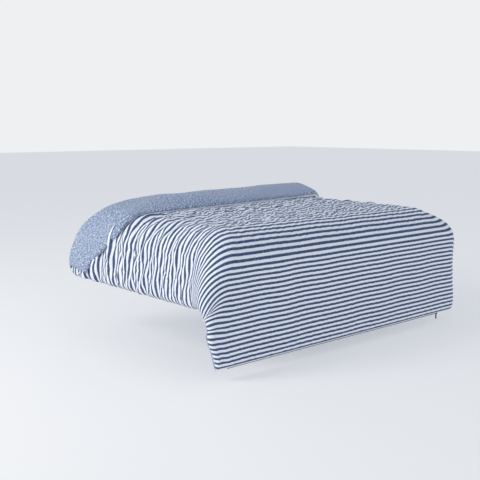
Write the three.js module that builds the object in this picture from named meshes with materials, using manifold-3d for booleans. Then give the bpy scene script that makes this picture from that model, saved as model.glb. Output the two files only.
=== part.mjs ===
// A box-stitched duvet in a zipped cover, draped over a mattress with its head end turned back.
// Millimetres, +Z up, -Y towards the foot of the bed, +X to the right seen from the foot.
// The origin is the middle of the flat underside, where the duvet rests on the mattress top.
//
// Every soft piece is laid out on the flat duvet and then draped: s runs across the width from the
// middle, t runs up the length from the foot hem, and n is the height above the middle of the duvet's
// thickness, positive towards the patterned face. drape(s, t, n) turns the three into a point in space.
import * as THREE from "three";
import { mergeVertices } from "three/addons/utils/BufferGeometryUtils.js";
import Module from "manifold-3d";

const wasm = await Module();
wasm.setup();

// ---- Driving dimensions ----
const coverWidth = 2250; // the cover, laid flat
const coverLength = 2000;
const mattressWidth = 1500;
const topLength = 1070; // flat stretch that lies on the mattress, from its foot edge to the turn
const footDrop = 635; // cloth that hangs past the mattress's foot edge
const fillHalf = 31.8; // half the loft of the filling
const shoulderRadius = 75; // of the duvet's middle, where it bends over the mattress's edge
const layerGap = 4; // between the lower layer and the turned-back layer
const footFlareLeft = 0.06; // how far the foot drop widens at each side, per length hung down
const footFlareRight = 0.24;
const sideLean = 0.14; // how far each side drop leans out from vertical, in radians
const cornerSharpness = 4; // exponent that levels the hem round a corner

// ---- The stack of layers, outwards from the filling ----
const shellThickness = 0.8; // the insert's own shell
const coverThickness = 1;
const fillToShell = 0.6;
const shellToCover = 1;
const sewnGap = 0.3; // half the gap between the two cover panels at a sewn edge
const zipGap = 1.8; // half the gap between them at the foot hem, where the zip is
const insertInset = 20; // from the cover's edge to the insert's shell
const fillAtEdge = 2; // half the filling's height where the insert's shells meet
const shellStart = fillToShell;
const coverStart = shellStart + shellThickness + shellToCover;
const halfThickness = fillHalf + coverStart + coverThickness;

// ---- Drape ----
const turnRadius = halfThickness + layerGap / 2; // of the duvet's middle round the turn
const turnLength = Math.PI * turnRadius;
const turnStart = footDrop + topLength;
const turnEnd = turnStart + turnLength;
const coreHalf = mattressWidth / 2; // beyond this the duvet bends down at the sides
const footEdgeY = -topLength / 2;
const arcLength = (shoulderRadius * Math.PI) / 2;

// Middle surface and normal of the lower layer's shape at (s, v), where v is measured from the foot
// edge of the mattress towards the head. raise lifts it along the normal, as the turned-back layer is.
function bend(s, v, raise) {
  const along = Math.max(-v, 0);
  const half = coreHalf + (s < 0 ? footFlareLeft : footFlareRight) * along;
  const across = Math.max(Math.abs(s) - half, 0);
  const flat = new THREE.Vector3(THREE.MathUtils.clamp(s, -half, half), footEdgeY + Math.max(v, 0), 0);
  const reach = (across ** cornerSharpness + along ** cornerSharpness) ** (1 / cornerSharpness);
  if (reach === 0) return flat.setZ(halfThickness + raise);
  const plan = Math.hypot(across, along);
  const out = new THREE.Vector3((Math.sign(s) * across) / plan, -along / plan, 0);
  const sideShare = (across / plan) ** 2;
  const lean = sideLean * sideShare;
  const radius = shoulderRadius + raise;
  const angle = Math.min(reach / radius, Math.PI / 2 - lean);
  const straight = reach - radius * angle;
  const outwards = radius * Math.sin(angle) + straight * Math.sin(lean);
  const height = halfThickness - shoulderRadius + radius * Math.cos(angle) - straight * Math.cos(lean);
  return flat.addScaledVector(out, outwards).setZ(height);
}

// Middle surface of the whole duvet, the turn and the turned-back layer included.
function middle(s, t) {
  const v = t - footDrop;
  if (t <= turnStart) return bend(s, v, 0);
  const angle = Math.min((t - turnStart) / turnRadius, Math.PI);
  const back = Math.max(t - turnEnd, 0);
  const point = bend(s, topLength, turnRadius * (1 - Math.cos(angle)));
  point.y += turnRadius * Math.sin(angle) - back;
  return point;
}

function normal(s, t) {
  const step = 0.5;
  const across = middle(s + step, t).sub(middle(s - step, t));
  const along = middle(s, t + step).sub(middle(s, t - step));
  return across.cross(along).normalize();
}

// ---- Knots: the flat lines along which the draped surface is faceted ----
const hemKnots = [0, insertInset, 45, 110]; // distances in from an edge
const loftKnots = [0, fillAtEdge, 0.65 * fillHalf, fillHalf]; // half the filling's height there
const arcKnots = [0, 1, 2, 3, 4].map((k) => (arcLength * k) / 4);
const columns = 5; // stitched boxes across the insert and along it
const rows = 5;
const boxWidth = (coverWidth - 2 * insertInset) / columns;
const boxLength = (coverLength - 2 * insertInset) / rows;

function ascending(values) {
  const sorted = [...values].sort((a, b) => a - b);
  return sorted.filter((value, i) => i === 0 || value - sorted[i - 1] > 1e-6);
}

const raisedArc = ((shoulderRadius + 2 * turnRadius) * Math.PI) / 2;
const raisedKnots = [1, 2, 3].map((k) => arcLength + ((raisedArc - arcLength) * k) / 3);
const hemLines = hemKnots.map((e) => coverWidth / 2 - e);
const bendLines = [...arcKnots, ...raisedKnots].map((a) => coreHalf + a);
const halfLines = [...bendLines.filter((s) => s < Math.min(...hemLines)), ...hemLines];
const acrossKnots = ascending([...halfLines, ...halfLines.map((s) => -s)]);
const turnSteps = 6;
const turnKnots = Array.from({ length: turnSteps + 1 }, (_, k) => turnStart + (turnLength * k) / turnSteps);
const stitchGap = 12; // between neighbouring pads of filling, where the shells are sewn together
const firstRow = insertInset + boxLength;
const dropSteps = 4; // rows of facets between the hem's and the first seam
const dropKnots = [firstRow + stitchGap / 2];
for (let k = 1; k <= dropSteps; k += 1) {
  dropKnots.push(hemKnots[3] + ((firstRow - stitchGap / 2 - hemKnots[3]) * k) / dropSteps);
}
const alongKnots = ascending([
  ...hemKnots,
  ...dropKnots,
  ...arcKnots.map((a) => footDrop - a),
  ...turnKnots,
  ...hemKnots.map((e) => coverLength - e),
]);

function inset(s, t) {
  return Math.min(coverWidth / 2 - Math.abs(s), t, coverLength - t);
}

// Half the filling's height, which tapers to the edges.
function loftAt(s, t) {
  const e = THREE.MathUtils.clamp(inset(s, t), 0, hemKnots[3]);
  const a = cell(hemKnots, e);
  return THREE.MathUtils.lerp(loftKnots[a.i], loftKnots[a.i + 1], a.share);
}

function cell(knots, value) {
  let i = 0;
  while (i < knots.length - 2 && knots[i + 1] < value) i += 1;
  return { i, share: (value - knots[i]) / (knots[i + 1] - knots[i]) };
}

// Each cell is split along the diagonal that runs out towards its own corner of the duvet.
function splitsUp(s, t) {
  return s < 0 === t < coverLength / 2;
}

// The three knots round (s, t), and the share of each.
function facet(s, t) {
  const a = cell(acrossKnots, s);
  const b = cell(alongKnots, t);
  const up = splitsUp(acrossKnots[a.i] + acrossKnots[a.i + 1], (alongKnots[b.i] + alongKnots[b.i + 1]) / 2);
  const near = up ? b.i : b.i + 1;
  const far = up ? b.i + 1 : b.i;
  const share = up ? b.share : 1 - b.share;
  const third = a.share > share ? [a.i + 1, near] : [a.i, far];
  const nearShare = 1 - Math.max(a.share, share);
  const farShare = Math.min(a.share, share);
  return [
    { i: a.i, j: near, share: nearShare },
    { i: a.i + 1, j: far, share: farShare },
    { i: third[0], j: third[1], share: 1 - nearShare - farShare },
  ];
}

const knotPoint = acrossKnots.map((s) => alongKnots.map((t) => middle(s, t)));
const knotNormal = acrossKnots.map((s) => alongKnots.map((t) => normal(s, t)));
const knotLoft = acrossKnots.map((s) => alongKnots.map((t) => loftAt(s, t)));

function drape(s, t, n) {
  const point = new THREE.Vector3();
  for (const { i, j, share } of facet(s, t)) {
    point.addScaledVector(knotPoint[i][j], share).addScaledVector(knotNormal[i][j], share * n);
  }
  return point;
}

function loft(s, t) {
  return facet(s, t).reduce((sum, { i, j, share }) => sum + knotLoft[i][j] * share, 0);
}

// ---- Solids ----
// A closed solid over the grid of lines, between the heights low(s, t) and high(s, t).
function layer(acrossLines, alongLines, low, high) {
  const width = acrossLines.length;
  const length = alongLines.length;
  const positions = [];
  for (const height of [low, high]) {
    for (const s of acrossLines) {
      for (const t of alongLines) positions.push(...drape(s, t, height(s, t)).toArray());
    }
  }
  const at = (top, i, j) => (top ? width * length : 0) + i * length + j;
  const index = [];
  const quad = (a, b, c, d) => index.push(a, b, c, a, c, d);
  for (let i = 0; i < width - 1; i += 1) {
    for (let j = 0; j < length - 1; j += 1) {
      const up = splitsUp(acrossLines[i] + acrossLines[i + 1], (alongLines[j] + alongLines[j + 1]) / 2);
      const [near, right, far, left] = [[i, j], [i + 1, j], [i + 1, j + 1], [i, j + 1]];
      const corners = up ? [near, right, far, left] : [right, far, left, near];
      quad(...corners.map((corner) => at(1, ...corner)));
      quad(...[0, 3, 2, 1].map((k) => at(0, ...corners[k])));
    }
    quad(at(0, i, 0), at(0, i + 1, 0), at(1, i + 1, 0), at(1, i, 0));
    quad(at(1, i, length - 1), at(1, i + 1, length - 1), at(0, i + 1, length - 1), at(0, i, length - 1));
  }
  for (let j = 0; j < length - 1; j += 1) {
    quad(at(1, 0, j), at(1, 0, j + 1), at(0, 0, j + 1), at(0, 0, j));
    quad(at(0, width - 1, j), at(0, width - 1, j + 1), at(1, width - 1, j + 1), at(1, width - 1, j));
  }
  const geometry = new THREE.BufferGeometry();
  geometry.setAttribute("position", new THREE.Float32BufferAttribute(positions, 3));
  geometry.setIndex(index);
  geometry.computeVertexNormals();
  return geometry;
}

// The knots from one value to another, with both ends.
function linesBetween(knots, from, to, extra = []) {
  return ascending([from, to, ...extra, ...knots.filter((k) => k > from && k < to)]);
}

const duvet = new THREE.Group();
function add(name, geometry, material) {
  const mesh = new THREE.Mesh(geometry, material);
  mesh.name = name;
  duvet.add(mesh);
  return mesh;
}

const cloth = (color) => new THREE.MeshStandardMaterial({ color, roughness: 0.95, metalness: 0 });
const stripedCotton = cloth(0xb4c2d6);
const chambrayCotton = cloth(0x8c9bb9);
const whiteCotton = cloth(0xf0efeb);
const hollowfibre = cloth(0xfafafa);
const navyTape = cloth(0x26345c);
const navyNylon = new THREE.MeshStandardMaterial({ color: 0x1f2a4a, roughness: 0.5, metalness: 0 });
const darkMetal = new THREE.MeshStandardMaterial({ color: 0x2a2c33, roughness: 0.35, metalness: 0.9 });

// ---- Cover: the patterned face panel and the plain reverse panel ----
function coverInside(s, t) {
  const e = inset(s, t);
  const atEdge = t < insertInset && t === e ? zipGap : sewnGap;
  return e >= insertInset ? loft(s, t) + coverStart : THREE.MathUtils.lerp(atEdge, coverStart, e / insertInset);
}
const coverOutside = (s, t) => coverInside(s, t) + coverThickness;
const flip = (height) => (s, t) => -height(s, t);
add("cover_face_panel", layer(acrossKnots, alongKnots, coverInside, coverOutside), stripedCotton);
add("cover_reverse_panel", layer(acrossKnots, alongKnots, flip(coverOutside), flip(coverInside)), chambrayCotton);

// ---- Insert: two shells, and its bound edges ----
const insertHalfWidth = coverWidth / 2 - insertInset;
const insertHead = coverLength - insertInset;
const insertAcross = linesBetween(acrossKnots, -insertHalfWidth, insertHalfWidth);
const insertAlong = linesBetween(alongKnots, insertInset, insertHead);
const shellInside = (s, t) => loft(s, t) + shellStart;
const shellOutside = (s, t) => shellInside(s, t) + shellThickness;
add("insert_shell_top", layer(insertAcross, insertAlong, shellInside, shellOutside), whiteCotton);
add("insert_shell_bottom", layer(insertAcross, insertAlong, flip(shellOutside), flip(shellInside)), whiteCotton);

const bindingWidth = 8;
const bindingHalf = 0.7;
const bindingGap = 0.5; // between the binding and the shells' edge, and at each mitre
const bindingTop = () => bindingHalf;
const bindingBottom = () => -bindingHalf;
const bindingInner = insertHalfWidth + bindingGap;
const bindingFoot = insertInset - bindingGap;
for (const [name, side] of [["left", -1], ["right", 1]]) {
  const edges = [side * bindingInner, side * (bindingInner + bindingWidth)];
  const strip = layer(ascending(edges), insertAlong, bindingBottom, bindingTop);
  add(`insert_binding_${name}`, strip, whiteCotton);
}
for (const [name, t] of [["foot", bindingFoot - bindingWidth], ["head", coverLength - bindingFoot]]) {
  const strip = layer(insertAcross, [t, t + bindingWidth], bindingBottom, bindingTop);
  add(`insert_binding_${name}`, strip, whiteCotton);
}

// ---- Filling: one pad of fibre in each stitched box ----
const padShoulder = 40; // how far in from the stitching a pad reaches its full height
const padEdgeShare = 0.2; // its height at the stitching, as a share of the full one
const padLoftShare = 0.85; // its height inside the box, as a share of the filling's
for (let column = 0; column < columns; column += 1) {
  for (let row = 0; row < rows; row += 1) {
    const left = -insertHalfWidth + column * boxWidth + stitchGap / 2;
    const foot = insertInset + row * boxLength + stitchGap / 2;
    const right = left + boxWidth - stitchGap;
    const head = foot + boxLength - stitchGap;
    const flatAcross = [left + padShoulder, right - padShoulder].filter((s) => Math.abs(s) < coreHalf);
    const flatAlong = [foot + padShoulder, head - padShoulder].filter((t) => t > footDrop && t < turnStart);
    const across = linesBetween(acrossKnots, left, right, flatAcross);
    const along = linesBetween(alongKnots, foot, head, flatAlong);
    const height = (s, t) => {
      const fromStitching = Math.min(s - left, right - s, t - foot, head - t);
      const share = THREE.MathUtils.clamp(fromStitching / padShoulder, 0, 1);
      return loft(s, t) * THREE.MathUtils.lerp(padEdgeShare, padLoftShare, share);
    };
    add(`fill_pad_${column + 1}_${row + 1}`, layer(across, along, flip(height), height), hollowfibre);
  }
}

// ---- Zip along the foot hem: tape and coil on each panel, end stops, slider and pull ----
// Here t below 0 is past the hem, where the coil lies.
const zipStart = -coreHalf - 10; // the zip's open end, by the left corner
const zipEnd = coreHalf + 100; // its closed end, by the right corner
const coilOuter = -5.2; // the coil's far and near sides
const coilInner = -2.8;
const coilHalfWidth = 3;
const coilSplit = 0.15; // half the gap between the two coils
const tapeInner = 0.7; // the tape's two faces, measured from the middle of the duvet
const tapeOuter = 1.3;
const tapeReach = 10; // how far the tape runs up inside the hem
const zipClearance = 0.3;
const zipLines = [zipStart, -coreHalf, coreHalf, zipEnd];
const topStopLength = 4;
for (const [name, side] of [["face", 1], ["reverse", -1]]) {
  const between = (a, b) => [() => Math.min(side * a, side * b), () => Math.max(side * a, side * b)];
  const tape = between(tapeInner, tapeOuter);
  const tapeLines = [coilInner + zipClearance, 0, tapeReach];
  add(`zip_tape_${name}`, layer(zipLines, tapeLines, ...tape), navyTape);
  const coil = between(coilSplit, coilHalfWidth);
  add(`zip_coil_${name}`, layer(zipLines, [coilOuter, coilInner], ...coil), navyNylon);
  const stopStart = zipEnd + zipClearance;
  const stopLines = [stopStart, stopStart + topStopLength];
  add(`zip_top_stop_${name}`, layer(stopLines, [coilOuter, coilInner], ...coil), darkMetal);
}
const endStop = [zipStart - zipClearance - topStopLength, zipStart - zipClearance];
const stopHeight = () => coilHalfWidth;
add("zip_end_stop", layer(endStop, [coilOuter, coilInner], flip(stopHeight), stopHeight), darkMetal);

// The slider is a channel round the coil with a slot for the tapes, and a bridge that holds the pull.
// Its own x is across the hem, y is up the hem, and it is extruded along the zip.
const sliderLength = 12;
const stopPlay = 0.5; // left before the slider would meet a stop
const sliderX = zipEnd - sliderLength / 2 - stopPlay; // the middle of the closed slider
const sliderClearance = 0.6; // round the coil
const sliderWall = 1.2;
const sliderSlot = 1.7; // half the slot's width
const bridgeWidth = 2.4;
const bridgeBar = 1.2;
const bridgeOpening = [4.4, 3.4]; // along the zip, and down from the slider
const pivotDrop = bridgeOpening[1] / 2; // from the slider's underside down to the pull's pivot

function polygon(points) {
  return new THREE.Shape(points.map(([x, y]) => new THREE.Vector2(x, y)));
}

// A shape extruded to a depth, centred on its own plane.
function slab(shape, depth) {
  return new THREE.ExtrudeGeometry(shape, { depth, bevelEnabled: false }).translate(0, 0, -depth / 2);
}

function solid(geometry) {
  const bare = new THREE.BufferGeometry();
  const loose = geometry.index ? geometry.toNonIndexed() : geometry;
  bare.setAttribute("position", loose.getAttribute("position"));
  const merged = mergeVertices(bare, 1e-4);
  const vertProperties = merged.attributes.position.array;
  return new wasm.Manifold(new wasm.Mesh({ numProp: 3, vertProperties, triVerts: merged.index.array }));
}

function joined(first, second) {
  const mesh = solid(first).add(solid(second)).getMesh();
  const geometry = new THREE.BufferGeometry();
  geometry.setAttribute("position", new THREE.BufferAttribute(new Float32Array(mesh.vertProperties), 3));
  geometry.setIndex(Array.from(mesh.triVerts));
  return geometry.toNonIndexed();
}

const channelHalf = coilHalfWidth + sliderClearance;
const channelFar = coilOuter - sliderClearance;
const channelNear = coilInner + sliderClearance;
const sliderUnderside = channelFar - sliderWall;
const channel = slab(
  polygon([
    [-channelHalf - sliderWall, sliderUnderside],
    [channelHalf + sliderWall, sliderUnderside],
    [channelHalf + sliderWall, channelNear + sliderWall],
    [sliderSlot, channelNear + sliderWall],
    [sliderSlot, channelNear],
    [channelHalf, channelNear],
    [channelHalf, channelFar],
    [-channelHalf, channelFar],
    [-channelHalf, channelNear],
    [-sliderSlot, channelNear],
    [-sliderSlot, channelNear + sliderWall],
    [-channelHalf - sliderWall, channelNear + sliderWall],
  ]),
  sliderLength,
).rotateY(Math.PI / 2);
const bridgeHalf = bridgeOpening[0] / 2;
const bridgeRoot = sliderUnderside + sliderWall / 2;
const bridgeInside = sliderUnderside - bridgeOpening[1];
const bridge = slab(
  polygon([
    [-bridgeHalf - bridgeBar, bridgeRoot],
    [-bridgeHalf - bridgeBar, bridgeInside - bridgeBar],
    [bridgeHalf + bridgeBar, bridgeInside - bridgeBar],
    [bridgeHalf + bridgeBar, bridgeRoot],
    [bridgeHalf, bridgeRoot],
    [bridgeHalf, bridgeInside],
    [-bridgeHalf, bridgeInside],
    [-bridgeHalf, bridgeRoot],
  ]),
  bridgeWidth,
);

// The pull is a plate that hangs from a bar through the bridge.
const pullWidth = 8;
const pullLength = 27; // from the pivot to the pull's free end
const pullThickness = 1.4;
const pullCornerRadius = 3;
const pullHoleHalf = 2; // half the hole's width
const pullHoleLength = 4.6; // from the pivot
const pivotY = sliderUnderside - pivotDrop;
const pullShape = new THREE.Shape();
pullShape.moveTo(-pullWidth / 2, pullThickness / 2);
pullShape.lineTo(-pullWidth / 2, -pullLength + pullCornerRadius);
pullShape.quadraticCurveTo(-pullWidth / 2, -pullLength, -pullWidth / 2 + pullCornerRadius, -pullLength);
pullShape.lineTo(pullWidth / 2 - pullCornerRadius, -pullLength);
pullShape.quadraticCurveTo(pullWidth / 2, -pullLength, pullWidth / 2, -pullLength + pullCornerRadius);
pullShape.lineTo(pullWidth / 2, pullThickness / 2);
const pullHole = new THREE.Path();
pullHole.moveTo(-pullHoleHalf, -pullThickness / 2);
pullHole.lineTo(pullHoleHalf, -pullThickness / 2);
pullHole.lineTo(pullHoleHalf, -pullHoleLength);
pullHole.lineTo(-pullHoleHalf, -pullHoleLength);
pullShape.holes.push(pullHole);
const pull = slab(pullShape, pullThickness).rotateY(Math.PI / 2).translate(0, pivotY, 0);

// From the hem's own axes (along the zip, up the hem, out of the face) to the part's.
const hem = drape(sliderX, 0, 0);
const hemAxes = new THREE.Matrix4().makeBasis(
  new THREE.Vector3(1, 0, 0),
  new THREE.Vector3(0, 0, 1),
  new THREE.Vector3(0, -1, 0),
);
for (const [name, geometry] of [["zip_slider", joined(channel, bridge)], ["zip_pull_tab", pull]]) {
  add(name, geometry.applyMatrix4(hemAxes).translate(hem.x, hem.y, hem.z), darkMetal);
}

// ---- Corner ties in the cover, the loops they hold on the insert, and the blank care label ----
const tieEdges = [4, 18]; // distances in from the cover's two edges at the corner
const loopEdges = [12.5, 18];
const tapeGap = 0.1; // from the middle of the duvet
const tapeThickness = 0.7;
for (const [place, side, end] of [
  ["foot_left", -1, 0],
  ["foot_right", 1, 0],
  ["head_left", -1, 1],
  ["head_right", 1, 1],
]) {
  const across = (edges) => ascending(edges.map((e) => side * (coverWidth / 2 - e)));
  const along = (edges) => ascending(edges.map((e) => (end ? coverLength - e : e)));
  const low = () => -tapeGap - tapeThickness;
  const tie = layer(across(tieEdges), along(tieEdges), low, () => -tapeGap);
  const loop = layer(across(loopEdges), along(loopEdges), () => tapeGap, () => tapeGap + tapeThickness);
  add(`cover_corner_tie_${place}`, tie, whiteCotton);
  add(`insert_corner_loop_${place}`, loop, whiteCotton);
}
const labelLength = 40; // along the side seam
const labelEdges = [2.5, 10.5]; // in from the seam
const labelStart = 300; // from the foot hem
const labelHalf = 0.25;
const labelAcross = labelEdges.map((e) => e - coverWidth / 2);
const labelAlong = [labelStart, labelStart + labelLength];
add("care_label", layer(labelAcross, labelAlong, () => -labelHalf, () => labelHalf), whiteCotton);

export default duvet;
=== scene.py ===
import math
import bpy
import numpy as np
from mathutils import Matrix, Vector


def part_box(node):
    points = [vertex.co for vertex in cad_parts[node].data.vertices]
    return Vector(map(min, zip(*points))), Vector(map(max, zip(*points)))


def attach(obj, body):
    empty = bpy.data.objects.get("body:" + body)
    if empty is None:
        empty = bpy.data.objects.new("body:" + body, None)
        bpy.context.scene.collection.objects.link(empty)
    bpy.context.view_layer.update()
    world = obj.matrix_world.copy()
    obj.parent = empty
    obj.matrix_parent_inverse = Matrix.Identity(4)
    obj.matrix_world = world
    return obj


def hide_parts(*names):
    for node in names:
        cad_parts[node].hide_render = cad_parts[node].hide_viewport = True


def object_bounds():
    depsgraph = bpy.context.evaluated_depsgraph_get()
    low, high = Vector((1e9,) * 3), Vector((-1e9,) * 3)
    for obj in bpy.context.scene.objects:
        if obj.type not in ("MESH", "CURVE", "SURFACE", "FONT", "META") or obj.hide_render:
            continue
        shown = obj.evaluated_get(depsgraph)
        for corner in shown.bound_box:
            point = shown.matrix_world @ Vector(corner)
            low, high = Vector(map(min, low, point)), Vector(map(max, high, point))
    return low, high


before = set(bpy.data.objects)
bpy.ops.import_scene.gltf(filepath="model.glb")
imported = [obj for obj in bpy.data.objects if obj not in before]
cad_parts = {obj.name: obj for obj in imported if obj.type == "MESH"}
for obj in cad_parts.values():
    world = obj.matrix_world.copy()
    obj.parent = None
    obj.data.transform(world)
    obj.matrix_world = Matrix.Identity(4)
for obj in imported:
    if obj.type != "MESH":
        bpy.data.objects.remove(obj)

cad_low, cad_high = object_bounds()

# ---- Camera ----
# A short telephoto lens stands low off the bed's left foot corner, so that the foot drop, the left
# drop and the turned-back cuff all show.
view_yaw = math.radians(48.817)
view_pitch = math.radians(8.266)
view_forward = Vector((
    math.cos(view_pitch) * math.cos(view_yaw),
    math.cos(view_pitch) * math.sin(view_yaw),
    -math.sin(view_pitch),
))
camera_data = bpy.data.cameras.new("camera")
camera_data.lens = 58.29
camera_data.sensor_width = 36.0
camera = bpy.data.objects.new("camera", camera_data)
camera.location = (-2.970, -3.215, 0.525)
camera.rotation_mode = "QUATERNION"
camera.rotation_quaternion = view_forward.to_track_quat("-Z", "Y")
bpy.context.collection.objects.link(camera)
bpy.context.scene.camera = camera

# ---- Studio ----
# A pale floor that runs out to a pale surround, lit by one large soft light from the bed's left.
surround_pale = (0.862, 0.871, 0.888, 1)
surround_dim = (0.44, 0.49, 0.57, 1)
horizon_top = 0.22
overhead_from = 0.60
floor_level = cad_low.z - 0.02
floor_half = 30.0
floor_mesh = bpy.data.meshes.new("floor")
floor_ends = (-floor_half, floor_half)
floor_points = [(x, y, floor_level) for y in floor_ends for x in floor_ends]
floor_mesh.from_pydata(floor_points, [], [(0, 1, 3, 2)])
floor = bpy.data.objects.new("floor", floor_mesh)
bpy.context.collection.objects.link(floor)
floor_paint = bpy.data.materials.new("floor_paint")
floor_paint.use_nodes = True
floor_shader = floor_paint.node_tree.nodes["Principled BSDF"]
floor_shader.inputs["Base Color"].default_value = (0.60, 0.595, 0.59, 1)
floor_shader.inputs["Roughness"].default_value = 0.9
floor_shader.inputs["Specular IOR Level"].default_value = 0.1
floor_shader.inputs["Emission Color"].default_value = surround_pale
floor_shader.inputs["Emission Strength"].default_value = 0.42
floor_mesh.materials.append(floor_paint)

# The surround is palest round the horizon and dimmer overhead, so that the top of the bed stays
# darker than its lit side.
world = bpy.data.worlds.new("surround")
world.use_nodes = True
world_nodes, world_links = world.node_tree.nodes, world.node_tree.links
direction = world_nodes.new("ShaderNodeTexCoord")
height = world_nodes.new("ShaderNodeSeparateXYZ")
sky = world_nodes.new("ShaderNodeValToRGB")
world_links.new(direction.outputs["Generated"], height.inputs[0])
world_links.new(height.outputs["Z"], sky.inputs[0])
sky.color_ramp.elements[0].position = horizon_top
sky.color_ramp.elements[0].color = surround_pale
sky.color_ramp.elements[1].position = overhead_from
sky.color_ramp.elements[1].color = surround_dim
world_links.new(sky.outputs[0], world_nodes["Background"].inputs["Color"])
world_nodes["Background"].inputs["Strength"].default_value = 1.0
bpy.context.scene.world = world
bpy.context.scene.view_settings.view_transform = "Standard"

key_place = Vector((-5.0, 0.9, 2.6))
key_aim = Vector((-0.6, 0, 0))
key_data = bpy.data.lights.new("key_light", "AREA")
key_data.shape = "SQUARE"
key_data.size = 2.2
key_data.energy = 130
key_data.color = (1.0, 0.965, 0.90)
key_light = bpy.data.objects.new("key_light", key_data)
key_light.location = key_place
key_light.rotation_euler = (key_aim - key_place).to_track_quat("-Z", "Y").to_euler()
bpy.context.collection.objects.link(key_light)

# ---- Cover face panel ----
# The upper half of the cover is one width of yarn-dyed cotton, striped across the bed. It is cut
# as a plain rectangle, seamed to the reverse panel on three sides, and left open to the zip at the
# foot. It lies over the filling, and the spare cloth gathers into folds over the side drops.
cover_width = 2.25
cover_length = 2.00
cloth_gauge = 0.001
half_loft = 0.0342
flat_loft = 0.018
core_half = 0.685
shoulder = 0.135
foot_drop = 0.695
foot_edge = -0.475
grid_step = 0.0125

# Drape: folds take up part of the cloth's length, the sides lean out as they hang, and the corner
# turns from round at the mattress to square at the hem. Places are lengths hung below the foot edge.
side_take_up = 0.928
foot_take_up = 0.963
side_lean = 0.14
corner_round = 2.3
corner_square = 6.0
square_from, square_over = 0.30, 0.35
left_flare, left_flare_over = 0.080, 0.32
right_flare, right_flare_over = 0.216, 0.24
right_hem_flare = 0.04
lip_depth, lip_place, lip_reach = 0.042, 0.50, 0.10
notch_depth, notch_place, notch_reach = 0.014, 0.475, 0.020

# Turn-back: the line it turns on slants across the bed and swings out into a wing at each side. It
# is pressed flat at the left and full elsewhere.
turn_reach = 0.55
turn_slope = 0.067
left_wing_size, left_wing_from, left_wing_over = 0.165, 0.75, 0.39
right_wing_size, right_wing_from, right_wing_over = 0.03, 0.70, 0.40
flat_radius = 0.019
full_radius = 0.037
right_radius_gain = 0.004
ledge_size = 0.135
ledge_tightness = 0.6
settle_share, settle_over = 0.8, 0.17
most_swing = 0.12


def smooth(x):
    """A step from 0 to 1 that starts and ends gently."""
    x = np.clip(x, 0, 1)
    return x * x * (3 - 2 * x)


def bend(s, v, rise, ledge):
    """Lay flat place (s across, v past the foot edge) over the mattress, raised by rise. A ledge
    carries the cloth that much further out at the right, where it then bends down more tightly."""
    along = np.maximum(-v, 0) * foot_take_up
    squared = smooth((along - square_from) / square_over)
    notch = notch_depth * np.exp(-(((along - notch_place) / notch_reach) ** 2))
    lip = lip_depth * np.exp(-(((along - lip_place) / lip_reach) ** 2)) - notch
    left = left_flare * smooth(along / left_flare_over) + lip
    right = right_flare * smooth(along / right_flare_over) + right_hem_flare * squared
    half = core_half + np.where(s < 0, left, right + ledge)
    across = np.maximum(np.abs(s) - half, 0) * side_take_up
    flat_x = np.clip(s, -half, half)
    flat_y = foot_edge + np.maximum(v, 0)
    sharpness = corner_round + corner_square * squared
    reach = (across ** sharpness + along ** sharpness) ** (1 / sharpness)
    plan = np.maximum(np.hypot(across, along), 1e-9)
    out_x = np.sign(s) * across / plan
    out_y = -along / plan
    lean = side_lean * (across / plan) ** 2
    radius = shoulder + rise - ledge_tightness * np.where(s < 0, 0, ledge)
    angle = np.minimum(reach / radius, np.pi / 2 - lean)
    straight = reach - radius * angle
    outward = radius * np.sin(angle) + straight * np.sin(lean)
    z = half_loft + rise - radius * (1 - np.cos(angle)) - straight * np.cos(lean)
    return np.stack([flat_x + out_x * outward, flat_y + out_y * outward, z], axis=-1)


def fullness(s):
    """How far the turn is from pressed flat, at the left side, to full, from 0 to 1."""
    return smooth((s + 0.85) / 0.50)


def turn_radius(s):
    """How tightly the head end is turned back, at s across it."""
    full = flat_radius + (full_radius - flat_radius) * fullness(s)
    return full + right_radius_gain * smooth(s / 0.75)


def turn_at(s):
    """How far up the cover its head end is turned back, at s across it."""
    left_wing = left_wing_size * smooth((-s - left_wing_from) / left_wing_over)
    right_wing = right_wing_size * smooth((s - right_wing_from) / right_wing_over)
    outermost = turn_reach + turn_slope * s + left_wing + right_wing
    thickness = turn_radius(s) + flat_loft + (half_loft - flat_loft) * fullness(s)
    return outermost - thickness + foot_drop - foot_edge


def lay(s, t):
    """Where flat place (s across, t up from the foot hem) lies on the bed, at mid-thickness."""
    nearby = 0.01
    turn = turn_at(s)
    slope = (turn_at(s + nearby) - turn_at(s - nearby)) / (2 * nearby)
    radius = turn_radius(s)
    angle = np.clip((t - turn) / radius, 0, np.pi)
    back = np.maximum(t - turn - np.pi * radius, 0)
    settled = settle_share * (2 * radius - half_loft - 0.004)
    sink = settled * smooth(1 - (cover_length - t) / settle_over) * (back > 0)
    rise = radius * (1 - np.cos(angle)) - sink
    ledge = ledge_size * smooth((t - turn + 0.06) / 0.18)
    flat_s = s + 2 * np.clip(slope, -most_swing, most_swing) * back
    point = bend(flat_s, np.minimum(t, turn) - foot_drop, rise, ledge)
    point[..., 1] += radius * np.sin(angle) - back
    return point


def normals_of(points):
    """Unit normals of a grid of points, on the cover's face side."""
    across = np.gradient(points, axis=0)
    along = np.gradient(points, axis=1)
    normal = np.cross(across, along)
    return normal / np.maximum(np.linalg.norm(normal, axis=-1, keepdims=True), 1e-12)


def ripple(s, t, seed, count, wavelength, direction, spread):
    """Sum of sine waves: wavelengths in metres, directions in radians from the s axis."""
    draw = np.random.default_rng(seed)
    total = np.zeros_like(s)
    for _ in range(count):
        length = draw.uniform(*wavelength)
        heading = direction + draw.normal(0, spread)
        phase = draw.uniform(0, 2 * np.pi)
        total += np.sin(2 * np.pi * (s * np.cos(heading) + t * np.sin(heading)) / length + phase)
    return total / math.sqrt(count)


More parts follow.
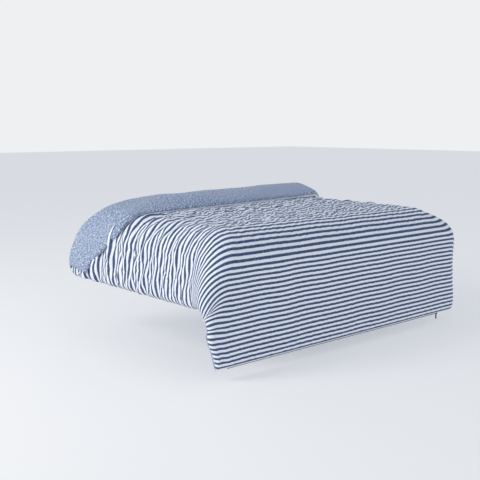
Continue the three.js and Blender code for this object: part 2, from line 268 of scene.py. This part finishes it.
across_lines = np.linspace(-cover_width / 2, cover_width / 2, round(cover_width / grid_step) + 1)
along_lines = np.linspace(0, cover_length, round(cover_length / grid_step) + 1)
grid_s, grid_t = np.meshgrid(across_lines, along_lines, indexing="ij")
middle = lay(grid_s, grid_t)
middle_normal = normals_of(middle)

# The filling thins to nothing at the sewn edges, and is pressed flat round the turn at the left.
rim = 0.11
sewn_gap = 0.0007
zip_gap = 0.0024
zip_depth = 0.012
turn_gap = 0.003
to_side = cover_width / 2 - np.abs(grid_s)
to_edge = np.minimum(np.minimum(to_side, grid_t), cover_length - grid_t)
part = np.clip(to_edge / rim, 0, 1)
past_turn = grid_t - turn_at(grid_s)
most_pressed = 1 - flat_loft / half_loft
pressed = 1 - most_pressed * (1 - fullness(grid_s)) * smooth((past_turn + 0.35) / 0.30)
loft = half_loft * pressed * np.sqrt(np.maximum(1 - (1 - part) ** 2, 0))
edge_gap = np.where(grid_t < zip_depth, zip_gap, sewn_gap)
loft = np.hypot(loft, edge_gap)
inner_room = turn_radius(grid_s) - turn_gap
in_turn = smooth((past_turn + 0.10) / 0.06) * smooth((0.26 - past_turn) / 0.06)
face_loft = loft + (np.minimum(loft, inner_room * 0.8) - loft) * in_turn

# Folds: gathers that run over the shoulder and down each side, deeper towards the turned-back end,
# and long shallow ones down the foot. Depths are in metres.
side_gather, cuff_side_gather, cuff_gather = 0.0045, 0.0035, 0.0042
fine_share = 0.35
foot_fold = 0.0028
deepest_fold = 0.011
side = smooth((np.abs(grid_s) - 0.55) / 0.30)
near_turn = smooth(1 - (turn_at(grid_s) - 0.25 - grid_t) / 0.9)
above_foot = smooth((grid_t - 0.50) / 0.25)
under_cuff = smooth((cover_length - 0.06 - grid_t) / 0.05) * smooth((0.02 - past_turn) / 0.06)
gathers = ripple(grid_s, grid_t, 3, 16, (0.07, 0.16), math.pi / 2, 0.20)
fine_gathers = ripple(grid_s, grid_t, 11, 18, (0.035, 0.075), math.pi / 2, 0.35)
foot_folds = ripple(grid_s, grid_t, 5, 12, (0.16, 0.42), 0.10, 0.30)
side_depth = side * (side_gather + cuff_side_gather * near_turn)
gather_depth = above_foot * under_cuff * (side_depth + cuff_gather * near_turn)
foot_depth = (1 - above_foot) * smooth(grid_t / 0.06) * foot_fold
folds = gather_depth * (gathers + fine_share * fine_gathers) + foot_depth * foot_folds
folds = np.where(folds < 0, deepest_fold * np.tanh(folds / deepest_fold), folds)


def quads_of(rows, columns):
    """The four-sided faces of a grid of points."""
    index = np.arange(rows * columns).reshape(rows, columns)
    around = [index[:-1, :-1], index[1:, :-1], index[1:, 1:], index[:-1, 1:]]
    return np.stack(around, axis=-1).reshape(-1, 4)


def closed_mesh(name, upper, lower):
    """A closed mesh between two grids of points, joined round their border."""
    rows, columns = upper.shape[:2]
    index = np.arange(rows * columns).reshape(rows, columns)
    offset = rows * columns
    top = quads_of(rows, columns)
    bottom = top[:, ::-1] + offset
    border = np.concatenate([index[:, 0], index[-1, 1:], index[-2::-1, -1], index[0, -2:0:-1]])
    following = np.roll(border, -1)
    wall = np.stack([following, border, border + offset, following + offset], axis=-1)
    points = np.concatenate([upper.reshape(-1, 3), lower.reshape(-1, 3)])
    mesh = bpy.data.meshes.new(name)
    mesh.from_pydata(points.tolist(), [], np.concatenate([top, bottom, wall]).tolist())
    mesh.shade_smooth()
    return mesh


def sheet_object(name, points, gauge):
    """A grid of points as a closed sheet of the given thickness, with its flat cut as an attribute."""
    normal = normals_of(points)
    mesh = closed_mesh(name, points + normal * gauge / 2, points - normal * gauge / 2)
    cut = mesh.attributes.new("cut", "FLOAT_VECTOR", "POINT")
    flat = np.stack([grid_s, grid_t, np.zeros_like(grid_s)], axis=-1).reshape(-1, 3)
    cut.data.foreach_set("vector", np.concatenate([flat, flat]).ravel())
    piece = bpy.data.objects.new(name, mesh)
    bpy.context.collection.objects.link(piece)
    return piece


def crumple(points, hold, swell, frames):
    """Let a sheet buckle by cloth simulation: it has swell more length than its drape, whose places
    it is held near by springs of strength hold."""
    rows, columns = points.shape[:2]
    mesh = bpy.data.meshes.new("crumple")
    mesh.from_pydata(points.reshape(-1, 3).tolist(), [], quads_of(rows, columns).tolist())
    cloth = bpy.data.objects.new("crumple", mesh)
    bpy.context.collection.objects.link(cloth)
    for name, weights in (("hold", hold), ("calm", 1 - swell / swell.max())):
        group = cloth.vertex_groups.new(name=name)
        levels = 50
        flat = np.broadcast_to(weights, (rows, columns)).ravel()
        steps = np.round(flat * levels).astype(int)
        for step in np.unique(steps):
            group.add(np.nonzero(steps == step)[0].tolist(), float(step) / levels, "REPLACE")
    modifier = cloth.modifiers.new("cloth", "CLOTH")
    settings = modifier.settings
    settings.quality = 4
    settings.mass = 0.2
    settings.tension_stiffness = 20
    settings.compression_stiffness = 20
    settings.shear_stiffness = 4
    settings.bending_stiffness = 3.0
    settings.vertex_group_mass = "hold"
    settings.pin_stiffness = 0.35
    settings.vertex_group_shrink = "calm"
    settings.shrink_min = -float(swell.max())
    settings.shrink_max = 0.0
    settings.effector_weights.gravity = 0.0
    modifier.collision_settings.use_collision = False
    modifier.point_cache.frame_end = frames
    scene = bpy.context.scene
    for number in range(1, frames + 1):
        scene.frame_set(number)
    settled = cloth.evaluated_get(bpy.context.evaluated_depsgraph_get()).to_mesh()
    result = np.empty(rows * columns * 3)
    settled.vertices.foreach_get("co", result)
    bpy.data.objects.remove(cloth)
    scene.frame_set(1)
    return result.reshape(rows, columns, 3)


# The sheet swells by these shares of its length, most on top beside the turned-back end, and is held
# fast at its seams and round the turn.
swell_all, swell_bed, swell_cuff = 0.008, 0.006, 0.018
soft_hold = 0.42
crumple_frames = 24
most_move = 0.012
face_points = middle + middle_normal * (face_loft + folds)[..., None]
swell = (swell_bed + swell_cuff * near_turn * (1 - side)) * above_foot * under_cuff + swell_all
fast = (to_edge < 0.02) | (in_turn > 0.2)
hold = np.where(fast, 1.0, soft_hold)
move = crumple(face_points, hold, swell, crumple_frames) - face_points
size = np.linalg.norm(move, axis=-1, keepdims=True)
face_points = face_points + move * np.minimum(1, most_move / np.maximum(size, 1e-9))


def node_material(name):
    material = bpy.data.materials.new(name)
    material.use_nodes = True
    tree = material.node_tree
    return material, tree.nodes, tree.links, tree.nodes["Principled BSDF"]


def math_node(nodes, links, operation, first, second=0.0):
    """A math node whose inputs are each a number or another node's output."""
    node = nodes.new("ShaderNodeMath")
    node.operation = operation
    for socket, value in zip(node.inputs, (first, second)):
        if hasattr(value, "is_output"):
            links.new(value, socket)
        else:
            socket.default_value = value
    return node.outputs[0]


def streaks(nodes, links, scale, detail=2.0, source="cut"):
    """Noise stretched along the cloth's own directions, in features per metre (across, along)."""
    if source == "cut":
        attribute = nodes.new("ShaderNodeAttribute")
        attribute.attribute_name = "cut"
        place = attribute.outputs["Vector"]
    else:
        place = nodes.new("ShaderNodeTexCoord").outputs["Object"]
    stretch = nodes.new("ShaderNodeVectorMath")
    stretch.operation = "MULTIPLY"
    links.new(place, stretch.inputs[0])
    stretch.inputs[1].default_value = (scale[0], scale[1], scale[1])
    noise = nodes.new("ShaderNodeTexNoise")
    noise.inputs["Scale"].default_value = 1.0
    noise.inputs["Detail"].default_value = detail
    links.new(stretch.outputs[0], noise.inputs["Vector"])
    return noise.outputs["Fac"]


def ramp(nodes, links, factor, stops):
    node = nodes.new("ShaderNodeValToRGB")
    band = node.color_ramp
    while len(band.elements) < len(stops):
        band.elements.new(0.5)
    for element, (position, color) in zip(band.elements, stops):
        element.position = position
        element.color = (*color, 1)
    links.new(factor, node.inputs[0])
    return node.outputs[0]


def woven_bump(nodes, links, shader, height, strength, distance):
    bump = nodes.new("ShaderNodeBump")
    bump.inputs["Strength"].default_value = strength
    bump.inputs["Distance"].default_value = distance
    links.new(height, bump.inputs["Height"])
    links.new(bump.outputs[0], shader.inputs["Normal"])


def cotton_finish(shader):
    shader.inputs["Roughness"].default_value = 0.92
    shader.inputs["Specular IOR Level"].default_value = 0.15
    shader.inputs["Sheen Weight"].default_value = 0.12


# The stripes are woven in across the bed, a navy one with a paler edge and a white one in turn. Some
# slubs wander off their line, and paler flecks show through.
stripe_pitch = 0.0243
cotton_white = (0.92, 0.955, 1.0)
cotton_blue = (0.13, 0.20, 0.39)
cotton_navy = (0.016, 0.034, 0.105)
fleck_blue = (0.36, 0.44, 0.64, 1)
fleck_share = 0.38
striped, nodes, links, shader = node_material("striped_cotton")
cut = nodes.new("ShaderNodeAttribute")
cut.attribute_name = "cut"
split = nodes.new("ShaderNodeSeparateXYZ")
links.new(cut.outputs["Vector"], split.inputs[0])
wander = math_node(nodes, links, "MULTIPLY", streaks(nodes, links, (45, 260)), 0.12)
phase = math_node(nodes, links, "DIVIDE", split.outputs["Y"], stripe_pitch)
phase = math_node(nodes, links, "FRACT", math_node(nodes, links, "ADD", phase, wander))
stripe = ramp(nodes, links, phase, [
    (0.0, cotton_white), (0.44, cotton_white), (0.49, cotton_blue), (0.56, cotton_navy),
    (0.88, cotton_navy), (0.95, cotton_blue), (1.0, cotton_white),
])
fleck = streaks(nodes, links, (90, 420), 3.0)
heather = ramp(nodes, links, fleck, [(0.40, (0, 0, 0)), (0.68, (1, 1, 1))])
mix = nodes.new("ShaderNodeMix")
mix.data_type = "RGBA"
mix.inputs["B"].default_value = fleck_blue
links.new(stripe, mix.inputs["A"])
links.new(math_node(nodes, links, "MULTIPLY", heather, fleck_share), mix.inputs["Factor"])
links.new(mix.outputs["Result"], shader.inputs["Base Color"])
cotton_finish(shader)
woven_bump(nodes, links, shader, streaks(nodes, links, (45, 60), 4.0), 0.25, 0.002)

face = sheet_object("cover_face", face_points, cloth_gauge)
face.data.materials.append(striped)
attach(face, "duvet")
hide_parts("cover_face_panel")

# ---- Cover reverse panel ----
# The under half of the cover is plain chambray of the same cut: blue warp, white weft. It shows
# where the head end is turned back, and inside the drops.
chambray, nodes, links, shader = node_material("chambray_cotton")
warp = streaks(nodes, links, (85, 300), 2.0)
weft = streaks(nodes, links, (300, 85), 2.0)
weft_share = 0.93
paler_weft = math_node(nodes, links, "MULTIPLY", weft, weft_share)
weave = math_node(nodes, links, "MAXIMUM", warp, paler_weft)
tone = ramp(nodes, links, weave, [
    (0.42, (0.07, 0.115, 0.24)), (0.50, (0.20, 0.27, 0.44)), (0.57, (0.38, 0.45, 0.60)),
    (0.64, (0.84, 0.88, 0.95)),
])
links.new(tone, shader.inputs["Base Color"])
cotton_finish(shader)
woven_bump(nodes, links, shader, streaks(nodes, links, (60, 60), 4.0), 0.25, 0.002)

reverse_fold = 0.0035
long_waves = ripple(grid_s, grid_t, 21, 14, (0.14, 0.40), 1.2, 0.5)
reverse_folds = reverse_fold * smooth(to_edge / 0.05) * long_waves
reverse_points = middle - middle_normal * (loft + cloth_gauge * 0.2 + reverse_folds)[..., None]
reverse = sheet_object("cover_reverse", reverse_points, cloth_gauge)
reverse.data.materials.append(chambray)
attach(reverse, "duvet")
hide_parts("cover_reverse_panel")

# ---- Insert ----
# A white cotton envelope of hollowfibre, sewn through in five by five boxes and bound round its edge.
# It fills the cover, so each side of it follows the panel over it, a little way inside.
insert_inset = 0.02
boxes = 5
seam_height = 0.30
puff_reach = 0.08
panel_gap = 0.003
most_height = half_loft - 0.009
keep = slice(2, -2)
s_in, t_in = grid_s[keep, keep], grid_t[keep, keep]


def to_seam(place, length):
    """Distance to the nearest line of stitching across a side of this length."""
    share = (place - insert_inset) / ((length - 2 * insert_inset) / boxes)
    return np.abs(share - np.round(share)) * (length - 2 * insert_inset) / boxes


seam = np.minimum(to_seam(s_in + cover_width / 2, cover_width), to_seam(t_in, cover_length))
puff = seam_height + (1 - seam_height) * np.sqrt(np.clip(seam / puff_reach, 0, 1))


def room_inside(points, way):
    """Least height of a cover panel above the middle, round each grid point, less a small gap."""
    height = np.sum((points - middle) * middle_normal, axis=-1) * way
    padded = np.pad(height, 1, mode="edge")
    rows, columns = height.shape
    spans = [padded[i:i + rows, j:j + columns] for i in range(3) for j in range(3)]
    return np.clip(np.minimum.reduce(spans) - panel_gap, panel_gap / 10, None)[keep, keep]


upper_height = np.minimum(room_inside(face_points, 1), most_height) * puff
lower_height = np.minimum(room_inside(reverse_points, -1), most_height) * puff
middle_in, normal_in = middle[keep, keep], middle_normal[keep, keep]
upper = middle_in + normal_in * upper_height[..., None]
lower = middle_in - normal_in * lower_height[..., None]
insert_mesh = closed_mesh("insert", upper, lower)
insert = bpy.data.objects.new("insert", insert_mesh)
bpy.context.collection.objects.link(insert)
white, nodes, links, shader = node_material("white_cotton")
thread = streaks(nodes, links, (300, 300), 3.0, "place")
tone = ramp(nodes, links, thread, [(0.35, (0.78, 0.77, 0.75)), (0.65, (0.88, 0.875, 0.86))])
links.new(tone, shader.inputs["Base Color"])
cotton_finish(shader)
insert_mesh.materials.append(white)
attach(insert, "duvet")
shells_and_fill = [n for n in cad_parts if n.startswith(("insert_shell", "fill_pad"))]
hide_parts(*shells_and_fill)

# ---- Insert binding ----
# White cotton bias tape, folded over the envelope's raw edge and sewn through, as one strip for
# each side. It is drawn as a flattened ring swept along the edge.
binding_half_width = 0.004
binding_half_height = 0.0012


def on_cloth(points, s, t):
    """The place on a draped grid of points at flat place (s, t)."""
    across = np.clip((np.asarray(s) + cover_width / 2) / cover_width * (len(across_lines) - 1), 0, None)
    along = np.clip(np.asarray(t) / cover_length * (len(along_lines) - 1), 0, None)
    i = np.minimum(across.astype(int), len(across_lines) - 2)
    j = np.minimum(along.astype(int), len(along_lines) - 2)
    u, v = (across - i)[..., None], (along - j)[..., None]
    near = points[i, j] * (1 - u) + points[i + 1, j] * u
    far = points[i, j + 1] * (1 - u) + points[i + 1, j + 1] * u
    return near * (1 - v) + far * v


def loft_mesh(name, rings, material):
    """Skin rings of points, shaped (count of rings, points in a ring, 3), with capped ends. Rings may
    also be shaped (pieces, rings, points, 3), for many small pieces in one mesh."""
    if rings.ndim == 3:
        rings = rings[None]
    pieces, count, sides, _ = rings.shape
    index = np.arange(pieces * count * sides).reshape(pieces, count, sides)
    turned = np.roll(index, -1, axis=2)
    walls = np.stack([index[:, :-1], turned[:, :-1], turned[:, 1:], index[:, 1:]], axis=-1)
    start_caps, end_caps = index[:, 0, ::-1], index[:, -1]
    faces = walls.reshape(-1, 4).tolist() + start_caps.tolist() + end_caps.tolist()
    mesh = bpy.data.meshes.new(name)
    mesh.from_pydata(rings.reshape(-1, 3).tolist(), [], faces)
    mesh.materials.append(material)
    mesh.shade_smooth()
    piece = bpy.data.objects.new(name, mesh)
    bpy.context.collection.objects.link(piece)
    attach(piece, "duvet")
    return piece


def flat_section(centre, side, up, half_width, half_height):
    """A flattened six-sided ring round each centre, between directions side and up."""
    corners = [(-1, 0), (-0.7, 1), (0.7, 1), (1, 0), (0.7, -1), (-0.7, -1)]
    ring = [centre + side * half_width * a + up * half_height * b for a, b in corners]
    return np.stack(ring, axis=-2)


def unit(vector):
    return vector / np.maximum(np.linalg.norm(vector, axis=-1, keepdims=True), 1e-12)


steps_along = 160
edge_s = cover_width / 2 - insert_inset
edge_t = (insert_inset, cover_length - insert_inset)
run_s = np.linspace(-edge_s, edge_s, steps_along)
run_t = np.linspace(*edge_t, steps_along)
binding_lines = {
    "left": (np.full(steps_along, -edge_s), run_t, (1, 0)),
    "right": (np.full(steps_along, edge_s), run_t, (1, 0)),
    "foot": (run_s, np.full(steps_along, edge_t[0]), (0, 1)),
    "head": (run_s, np.full(steps_along, edge_t[1]), (0, 1)),
}
reach_in = 0.004
for side_name, (line_s, line_t, inward) in binding_lines.items():
    centre = on_cloth(middle, line_s, line_t)
    nearby = on_cloth(middle, line_s + inward[0] * reach_in, line_t + inward[1] * reach_in)
    beside = unit(nearby - centre)
    upward = unit(on_cloth(middle_normal, line_s, line_t))
    rings = flat_section(centre, beside, upward, binding_half_width, binding_half_height)
    binding = loft_mesh(f"insert_binding_tape_{side_name}", rings, white)
    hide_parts(f"insert_binding_{side_name}")

# ---- Corner ties, loops and care label ----
# A cotton tape in each corner of the cover passes through a loop on the insert's corner and comes
# back on itself, which stops the insert sliding. The blank label is folded into the left side seam.
tie_half_width = 0.004
loop_half_width = tie_half_width * 0.7
tape_half_gauge = 0.0003
tape_points = 9
bend_flatness = 0.6
tie_lift, loop_lift, label_lift = 0.0009, 0.0020, 0.0005


def folded_tape(name, start, finish, across_step, half_width, lift, node):
    """A tape from flat place start to finish and back, one layer above the other."""
    there = np.linspace(0, 1, tape_points)
    share = np.concatenate([there, there[::-1]])
    height = np.concatenate([np.full(tape_points, -lift), np.full(tape_points, lift)])
    at_bend = share == 1
    height[at_bend] *= bend_flatness
    flat_s = start[0] + (finish[0] - start[0]) * share
    flat_t = start[1] + (finish[1] - start[1]) * share
    upward = unit(on_cloth(middle_normal, flat_s, flat_t))
    centre = on_cloth(middle, flat_s, flat_t) + upward * height[:, None]
    nearby = on_cloth(middle, flat_s + across_step[0], flat_t + across_step[1])
    beside = unit(nearby - on_cloth(middle, flat_s, flat_t))
    forward = unit(np.gradient(centre, axis=0))
    upright = unit(np.cross(forward, beside))
    rings = flat_section(centre, beside, upright, half_width, tape_half_gauge)
    piece = loft_mesh(name, rings, white)
    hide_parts(node)


def corner_tape(name, node, corner, insets, half_width, lift):
    """A tape along a corner's diagonal, between two insets from the cover's edges. The corner is
    given as its side (-1 or 1), its end's place up the cover, and the way from there to the middle."""
    way, end_t, step_in = corner
    start, finish = [(way * (cover_width / 2 - inset), end_t + step_in * inset) for inset in insets]
    beside_step = (0.002, 0.002 * step_in * way)
    folded_tape(name, start, finish, beside_step, half_width, lift, node)


tie_insets = (0.003, 0.017)
loop_insets = (0.021, 0.013)
for end_name, end_place, inward in (("foot", 0.0, 1), ("head", cover_length, -1)):
    for side_name, side_sign in (("left", -1), ("right", 1)):
        corner = (side_sign, end_place, inward)
        tie = f"corner_tie_{end_name}_{side_name}"
        loop = f"corner_loop_{end_name}_{side_name}"
        corner_tape(tie, f"cover_{tie}", corner, tie_insets, tie_half_width, tie_lift)
        corner_tape(loop, f"insert_{loop}", corner, loop_insets, loop_half_width, loop_lift)

label_middle = 0.32
label_half_length = 0.020
label_start = (0.0025 - cover_width / 2, label_middle)
label_finish = (0.0105 - cover_width / 2, label_middle)
folded_tape("blank_care_label", label_start, label_finish, (0, 0.004), label_half_length, label_lift,
            "care_label")

# ---- Zip ----
# A navy nylon coil zip closes the foot hem. Each coil is wound from one filament and sewn to a woven
# tape, the tapes are stitched inside the panels' hems, and the slider and pull are black enamel.
zip_low, zip_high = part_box("zip_tape_face")
filament_radius = 0.00036
filament_sides = 5
coil_pitch = 0.0025
points_per_turn = 8


def round_section(centre, side, up, radius, sides):
    """A ring of points of this radius round each centre, in the plane of directions side and up."""
    turn = (np.arange(sides) * 2 * np.pi / sides)[:, None]
    spokes = side[..., None, :] * np.cos(turn) + up[..., None, :] * np.sin(turn)
    return centre[..., None, :] + radius * spokes


def wound_coil(name, node, material):
    """One side of the zip: a filament wound to fill the box of its CAD node."""
    low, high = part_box(node)
    length = high.x - low.x
    count = int(length / coil_pitch * points_per_turn)
    turn = np.arange(count) * 2 * np.pi / points_per_turn
    radius_y = (high.y - low.y) / 2 - filament_radius
    radius_z = (high.z - low.z) / 2 - filament_radius
    centre = np.stack([
        low.x + filament_radius + (length - 2 * filament_radius) * np.arange(count) / (count - 1),
        (low.y + high.y) / 2 + radius_y * np.cos(turn),
        (low.z + high.z) / 2 + radius_z * np.sin(turn),
    ], axis=-1)
    forward = unit(np.gradient(centre, axis=0))
    side_way = unit(np.cross(forward, [1.0, 0, 0]))
    up_way = np.cross(side_way, forward)
    rings = round_section(centre, side_way, up_way, filament_radius, filament_sides)
    piece = loft_mesh(name, rings, material)
    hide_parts(node)


nylon, nodes, links, shader = node_material("zip_nylon")
grain = streaks(nodes, links, (900, 900), 2.0, "place")
tone = ramp(nodes, links, grain, [(0.3, (0.010, 0.016, 0.040)), (0.7, (0.022, 0.032, 0.070))])
links.new(tone, shader.inputs["Base Color"])
shader.inputs["Roughness"].default_value = 0.42
wound_coil("zip_filament_face", "zip_coil_face", nylon)
wound_coil("zip_filament_reverse", "zip_coil_reverse", nylon)

tape_weave, nodes, links, shader = node_material("zip_tape_weave")
rib = streaks(nodes, links, (1400, 260), 2.0, "place")
tone = ramp(nodes, links, rib, [(0.35, (0.012, 0.020, 0.055)), (0.65, (0.035, 0.050, 0.110))])
links.new(tone, shader.inputs["Base Color"])
shader.inputs["Roughness"].default_value = 0.85
woven_bump(nodes, links, shader, rib, 0.4, 0.0004)

enamel, nodes, links, shader = node_material("zip_enamel")
wear = streaks(nodes, links, (500, 500), 4.0, "place")
tone = ramp(nodes, links, wear, [(0.45, (0.010, 0.011, 0.013)), (0.80, (0.070, 0.072, 0.078))])
links.new(tone, shader.inputs["Base Color"])
gloss = ramp(nodes, links, wear, [(0.35, (0.28, 0.28, 0.28)), (0.75, (0.50, 0.50, 0.50))])
links.new(gloss, shader.inputs["Roughness"])
shader.inputs["Metallic"].default_value = 0.6
woven_bump(nodes, links, shader, wear, 0.15, 0.0003)


def dress(node, material):
    """Give a CAD solid that stays as it is its own material."""
    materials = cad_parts[node].data.materials
    materials.clear()
    materials.append(material)


for tape in ("zip_tape_face", "zip_tape_reverse"):
    dress(tape, tape_weave)
for trim in ("zip_top_stop_face", "zip_top_stop_reverse", "zip_end_stop", "zip_slider", "zip_pull_tab"):
    dress(trim, enamel)

# ---- Hem stitching ----
# Two rows of navy lockstitch, one through each panel, hold the zip's tapes inside the foot hem.
# Each stitch is a short round of thread that stands on the cloth and dips into it at both ends.
stitch_pitch = 0.0034
stitch_length = 0.0026
thread_radius = 0.00035
thread_sides = 5
stitch_rise = 0.0007
stitch_row = 0.008
row_end_gap = 0.004
stitch_starts = np.arange(zip_low.x + row_end_gap, zip_high.x - row_end_gap, stitch_pitch)
along_stitch = np.array([0.0, 0.2, 0.8, 1.0])
plump = np.array([0.35, 1.0, 1.0, 0.35])
dip = np.array([-1.0, 0.6, 0.6, -1.0])


def stitch_line(name, points, way):
    """A row of stitches on a panel's outer side, each dipping into the cloth at its ends."""
    flat_s = stitch_starts[:, None] + stitch_length * along_stitch[None]
    flat_t = np.full_like(flat_s, stitch_row)
    surface = on_cloth(points, flat_s, flat_t)
    outward = unit(on_cloth(middle_normal, flat_s, flat_t)) * way
    centre = surface + outward * (stitch_rise * dip)[None, :, None]
    upright = unit(np.cross(outward, np.array([1.0, 0, 0])))
    radius = (thread_radius * plump)[None, :, None, None]
    rings = round_section(centre, outward, upright, radius, thread_sides)
    loft_mesh(name, rings, thread_navy)


thread_navy, nodes, links, shader = node_material("navy_thread")
twist = streaks(nodes, links, (2500, 900), 2.0, "place")
tone = ramp(nodes, links, twist, [(0.35, (0.016, 0.026, 0.070)), (0.65, (0.045, 0.065, 0.140))])
links.new(tone, shader.inputs["Base Color"])
shader.inputs["Roughness"].default_value = 0.7
stitch_line("hem_stitches_face", face_points, 1)
stitch_line("hem_stitches_reverse", reverse_points, -1)
